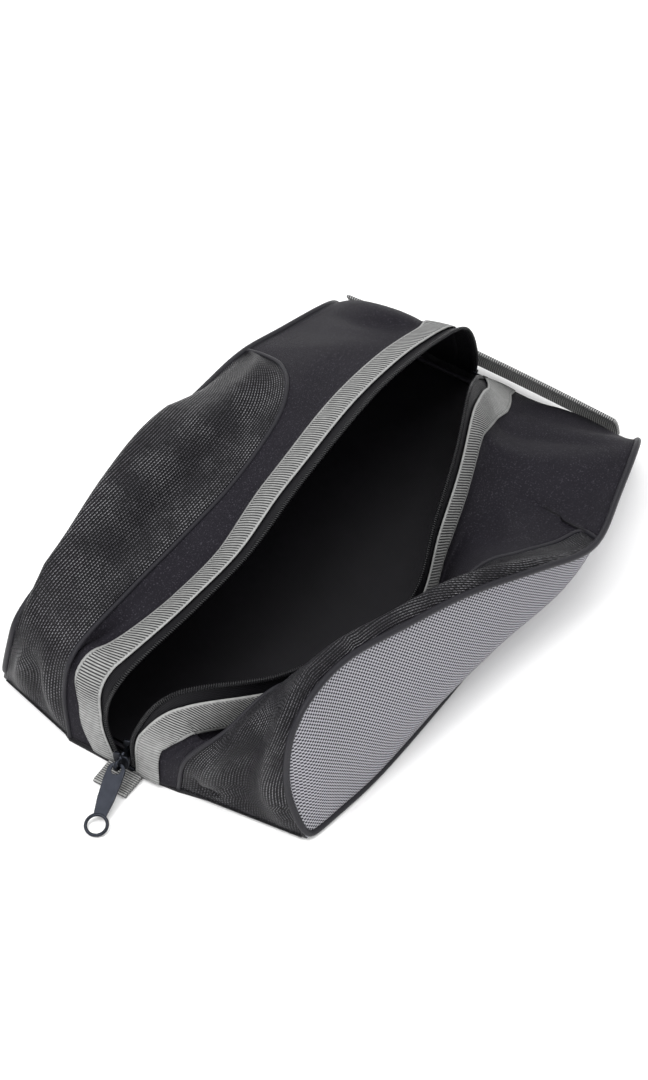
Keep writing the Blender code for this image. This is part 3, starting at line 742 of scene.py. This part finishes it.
gunmetal = dark_metal()
for side, sign in SIGN.items():
    line = lips[side][0]
    ends = through(line, [10.86, 10.93])
    run = unit(ends[1] - ends[0])
    across = unit(np.cross(run, [1, 0.2, 0]))
    axes = np.stack([across, np.cross(run, across), run])
    clip = lozenge(f"{side}_end_clip", ends.mean(0), (0.0019, 0.0016, 0.0021), axes, gunmetal)
    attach(clip, "root")
    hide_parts(f"{side}_top_stop")
low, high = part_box("zip_bottom_stop")
centre, half = np.array((low + high) / 2), np.array((high - low) / 2)
clip = lozenge("toe_clip", centre, half, np.eye(3), gunmetal)
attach(clip, "root")
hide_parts("zip_bottom_stop")

# The slider.
# A cast slider waits at the toe end: two shield-shaped plates with turned-in flanges, joined by a
# wedge between the coils, and a crown on the outer plate that the puller hangs from.


def plate(name, outlines, half_thickness, bevel, matrix, material):
    """A flat piece with rounded edges, from closed outlines in its own plane, holes included."""
    curve = bpy.data.curves.new(name, "CURVE")
    curve.dimensions = "2D"
    curve.fill_mode = "BOTH"
    curve.extrude = half_thickness - bevel
    curve.bevel_depth = bevel
    curve.bevel_resolution = 3
    curve.offset = -bevel
    for outline in outlines:
        spline = curve.splines.new("POLY")
        spline.points.add(len(outline) - 1)
        flat = np.column_stack([outline, np.zeros(len(outline)), np.ones(len(outline))])
        spline.points.foreach_set("co", flat.ravel())
        spline.use_cyclic_u = True
    shape = bpy.data.objects.new(name, curve)
    mesh = bpy.data.meshes.new_from_object(shape)
    bpy.data.objects.remove(shape)
    bpy.data.curves.remove(curve)
    mesh.transform(matrix)
    mesh.materials.clear()
    mesh.materials.append(material)
    mesh.polygons.foreach_set("use_smooth", [True] * len(mesh.polygons))
    mesh.set_sharp_from_angle(angle=math.radians(50))
    piece = bpy.data.objects.new(name, mesh)
    bpy.context.scene.collection.objects.link(piece)
    return piece


def facing(origin, x_axis, y_axis):
    """A matrix that lays a plane's X and Y along two axes at right angles."""
    x, y = Vector(x_axis).normalized(), Vector(y_axis).normalized()
    return Matrix.Translation(Vector(origin)) @ Matrix((x, y, x.cross(y))).transposed().to_4x4()


def rounded(points):
    """A closed outline through corner points, each corner cut three times by a quarter."""
    outline = np.asarray(points, float)
    for _ in range(3):
        ahead = np.roll(outline, -1, 0)
        outline = np.stack([outline * 0.75 + ahead * 0.25, outline * 0.25 + ahead * 0.75], 1)
        outline = outline.reshape(-1, 2)
    return outline


slider_low, slider_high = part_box("slider_body")
middle = np.array((slider_low + slider_high) / 2)
tall, wide = (slider_high[2] - slider_low[2]) / 2, (slider_high[1] - slider_low[1]) / 2
shield = rounded([
    (-wide * 0.62, -tall), (wide * 0.62, -tall), (wide, -tall * 0.1), (wide, tall * 0.9),
    (wide * 0.25, tall), (0, tall * 0.62), (-wide * 0.25, tall), (-wide, tall * 0.9),
    (-wide, -tall * 0.1),
])
HALF_PLATE = 0.0008
for name, x, body in (
    ("slider_front", slider_low[0] + HALF_PLATE, True),
    ("slider_back", slider_high[0] - HALF_PLATE, False),
):
    matrix = facing((x, middle[1], middle[2]), (0, 1, 0), (0, 0, 1))
    shell = plate(name, [shield], HALF_PLATE, 0.0004, matrix, gunmetal)
    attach(shell, "slider")
    if body:
        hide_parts("slider_body")
wedge = lozenge("slider_wedge", middle + (0, 0, 0.001), (0.0050, 0.0010, 0.0042), np.eye(3), gunmetal)
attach(wedge, "slider")
face = slider_low[0]
CROWN_RADIUS = 0.0034
pivot = np.array([face - CROWN_RADIUS * 0.66, middle[1], middle[2]])
bend = np.radians(np.linspace(78, 282, 24))
hoop = np.column_stack([
    pivot[0] + CROWN_RADIUS * np.cos(bend), np.full(24, pivot[1]),
    pivot[2] + CROWN_RADIUS * np.sin(bend),
])
rooted = face + 0.0005
hoop = np.vstack([[(rooted, pivot[1], hoop[0, 2])], hoop, [(rooted, pivot[1], hoop[-1, 2])]])
crown = tube("slider_crown_bow", hoop, 0.0008, gunmetal, (0, 1, 0), flat=1.5)
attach(crown, "slider")
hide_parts("slider_crown")

# The puller.
# A flat cast puller hangs from the crown by a slot, tapers a little, and ends in a ring. It lies
# down over the tab with the ring on the floor. A shallow groove follows its edges.
YAW, DROP = math.radians(14.7), math.radians(16.5)
REACH = 0.0380


def circle(centre, radius, start=0.0, end=360.0, count=48, closed=True):
    """Points round a circle between two bearings in degrees."""
    angle = np.radians(np.linspace(start, end, count, endpoint=not closed))
    return np.column_stack([centre + radius * np.cos(angle), radius * np.sin(angle)])


flat = np.array([-math.cos(YAW), -math.sin(YAW), 0])
down = flat * math.cos(DROP) + np.array([0, 0, -math.sin(DROP)])
side_way = np.array([math.sin(YAW), -math.cos(YAW), 0])
neck = 32.0
outline = np.vstack([
    circle(0.0043, 0.0054, 100, 260, 24, False), [(0.010, -0.0056), (0.022, -0.0050)],
    circle(REACH, 0.0070, -180 + neck, 180 - neck, 48, False), [(0.022, 0.0050), (0.010, 0.0056)],
])
slot_hole = rounded([(0.0008, -0.0027), (0.0064, -0.0027), (0.0064, 0.0027), (0.0008, 0.0027)])
matrix = facing(pivot, down, side_way)
puller = plate("puller", [outline, slot_hole, circle(REACH, 0.0053)], 0.0007, 0.0003, matrix, gunmetal)
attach(puller, "puller")
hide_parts("zip_puller")
on_ring = circle(REACH, 0.0062)
ring_path = pivot + np.outer(on_ring[:, 0], down) + np.outer(on_ring[:, 1], side_way)
ring = tube("puller_ring", ring_path, 0.0010, gunmetal, np.cross(down, side_way), closed=True)
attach(ring, "puller")

# The tab and the handle.
# Both are grey polypropylene webbing with ribs across it. The tab is a short folded loop sewn in
# under the slider. The handle is sewn into the heel's corner seams and stands off the heel.


def webbing_cloth():
    """Webbing: ribs across the strap crossed by long threads, and pale crowns over gaps darkened by
    painted shade; the corded edge on each side, where the weft turns back, is not drawn."""
    material, feed = finish("grey_webbing", 0.60, 0.14)
    u, v = own_axes(material)
    ribs, long = threads(material, u, 0.0015), threads(material, v, 0.0026)
    crowns = maths(material, "MULTIPLY", ribs, maths(material, "MULTIPLY_ADD", long, 0.45, 0.55))
    place, _, _, _ = object_axes(material)
    cloud = speckle(material, place, 240.0, 3.0)
    pale = mixed(material, cloud, (0.26, 0.262, 0.257, 1.0), (0.40, 0.402, 0.395, 1.0))
    # Painted shade: the gaps between the crowns are painted dark grey.
    colour = mixed(material, ramped(material, crowns, 0.14, 0.50), (0.045, 0.045, 0.048, 1.0), pale)
    feed(colour, height=crowns, depth=0.0005)
    return material


webbing = webbing_cloth()
tab_low, tab_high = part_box("front_tab")
turn = np.radians(np.linspace(-90, -270, 13))
profile = np.vstack([
    [(tab_high[0] + 0.001, 0.0009), (tab_high[0] - 0.004, 0.0008), (tab_high[0] - 0.010, 0.0007)],
    np.column_stack([tab_low[0] + 0.0012 + 0.0009 * np.cos(turn), 0.0016 + 0.0009 * np.sin(turn)]),
    [(tab_high[0] - 0.010, 0.0027), (tab_high[0] - 0.004, 0.0029), (tab_high[0] + 0.001, 0.0030)],
])
profile = through(profile, np.linspace(0, len(profile) - 1, 60))
breadth = np.linspace(tab_low[1], tab_high[1], 14)
grid = np.stack([
    np.broadcast_to(profile[:, None, 0], (60, 14)), np.broadcast_to(breadth[None, :], (60, 14)),
    np.broadcast_to(profile[:, None, 1], (60, 14)),
], axis=-1)
tab = sheet("webbing_tab", grid, [webbing], (0, 0, -1), 0.0011)
tab.modifiers["wall"].offset = 0.0
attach(tab, "front_tab")
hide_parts("front_tab")

y = np.linspace(-1, 1, 90)
tilt = unit(np.array([-0.35, 0.0, 0.94]))
foot = np.column_stack([0.185 + 0.003 * (1 - y**2), y * 0.0960, 0.0028 + 0.0003 * np.sin(3 * y)])
across = np.linspace(0, 0.0200, 12)[None, :, None]
bow = 0.0010 * np.sin(np.pi * np.linspace(0, 1, 12))[None, :, None]
grid = foot[:, None] + tilt * across + np.array([0.94, 0, 0.35]) * bow
strap = sheet("webbing_handle", grid, [webbing], (1, 0, 0), 0.0022)
strap.modifiers["wall"].offset = 0.0
soft = strap.modifiers.new("edge", "BEVEL")
soft.width = 0.0006
soft.segments = 2
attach(strap, "handle")
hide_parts("handle")

# The room.
# A pale floor, a bright even room, and soft lamps high on the left and over the bag.


def pale_floor():
    """Matt white paper with the faintest mottling."""
    material, feed = finish("pale_floor", 0.9, 0.1)
    place, _, _, _ = object_axes(material)
    feed(mixed(material, speckle(material, place, 3.0), (0.93, 0.93, 0.93, 1), (0.95, 0.95, 0.95, 1)))
    return material


mesh = bpy.data.meshes.new("floor")
mesh.from_pydata([(-6, -6, 0), (6, -6, 0), (6, 6, 0), (-6, 6, 0)], [], [(0, 1, 2, 3)])
mesh.materials.append(pale_floor())
ground = bpy.data.objects.new("floor", mesh)
bpy.context.scene.collection.objects.link(ground)
ground.location.z = -0.0002

world = bpy.data.worlds.new("room")
world.use_nodes = True
world.node_tree.nodes["Background"].inputs["Color"].default_value = (1.0, 1.0, 1.0, 1.0)
world.node_tree.nodes["Background"].inputs["Strength"].default_value = 0.95
bpy.context.scene.world = world
for name, place, size, power in (
    ("key", (-0.9, 0.5, 1.9), 1.0, 26.0), ("over", (0.5, -0.2, 2.0), 1.2, 14.0),
    ("front", (-1.4, -1.2, 0.9), 1.0, 9.0),
):
    lamp = bpy.data.lights.new(name, "AREA")
    lamp.size = size
    lamp.energy = power
    light = bpy.data.objects.new(name, lamp)
    light.location = place
    light.rotation_euler = Vector(place).to_track_quat("Z", "Y").to_euler()
    bpy.context.scene.collection.objects.link(light)

AZIMUTH, ELEVATION, DISTANCE = math.radians(-56.8), math.radians(48.7), 2.5
aim = Vector((-0.011, -0.011, 0.040))
back = Vector((
    math.cos(ELEVATION) * math.sin(AZIMUTH), -math.cos(ELEVATION) * math.cos(AZIMUTH),
    math.sin(ELEVATION),
))
lens = bpy.data.cameras.new("camera")
lens.sensor_width = 36.0
lens.lens = 143.7
lens.clip_end = 50.0
camera = bpy.data.objects.new("camera", lens)
camera.location = aim + back * DISTANCE
camera.rotation_euler = back.to_track_quat("Z", "Y").to_euler()
bpy.context.scene.collection.objects.link(camera)
bpy.context.scene.camera = camera
bpy.context.scene.view_settings.view_transform = "Standard"
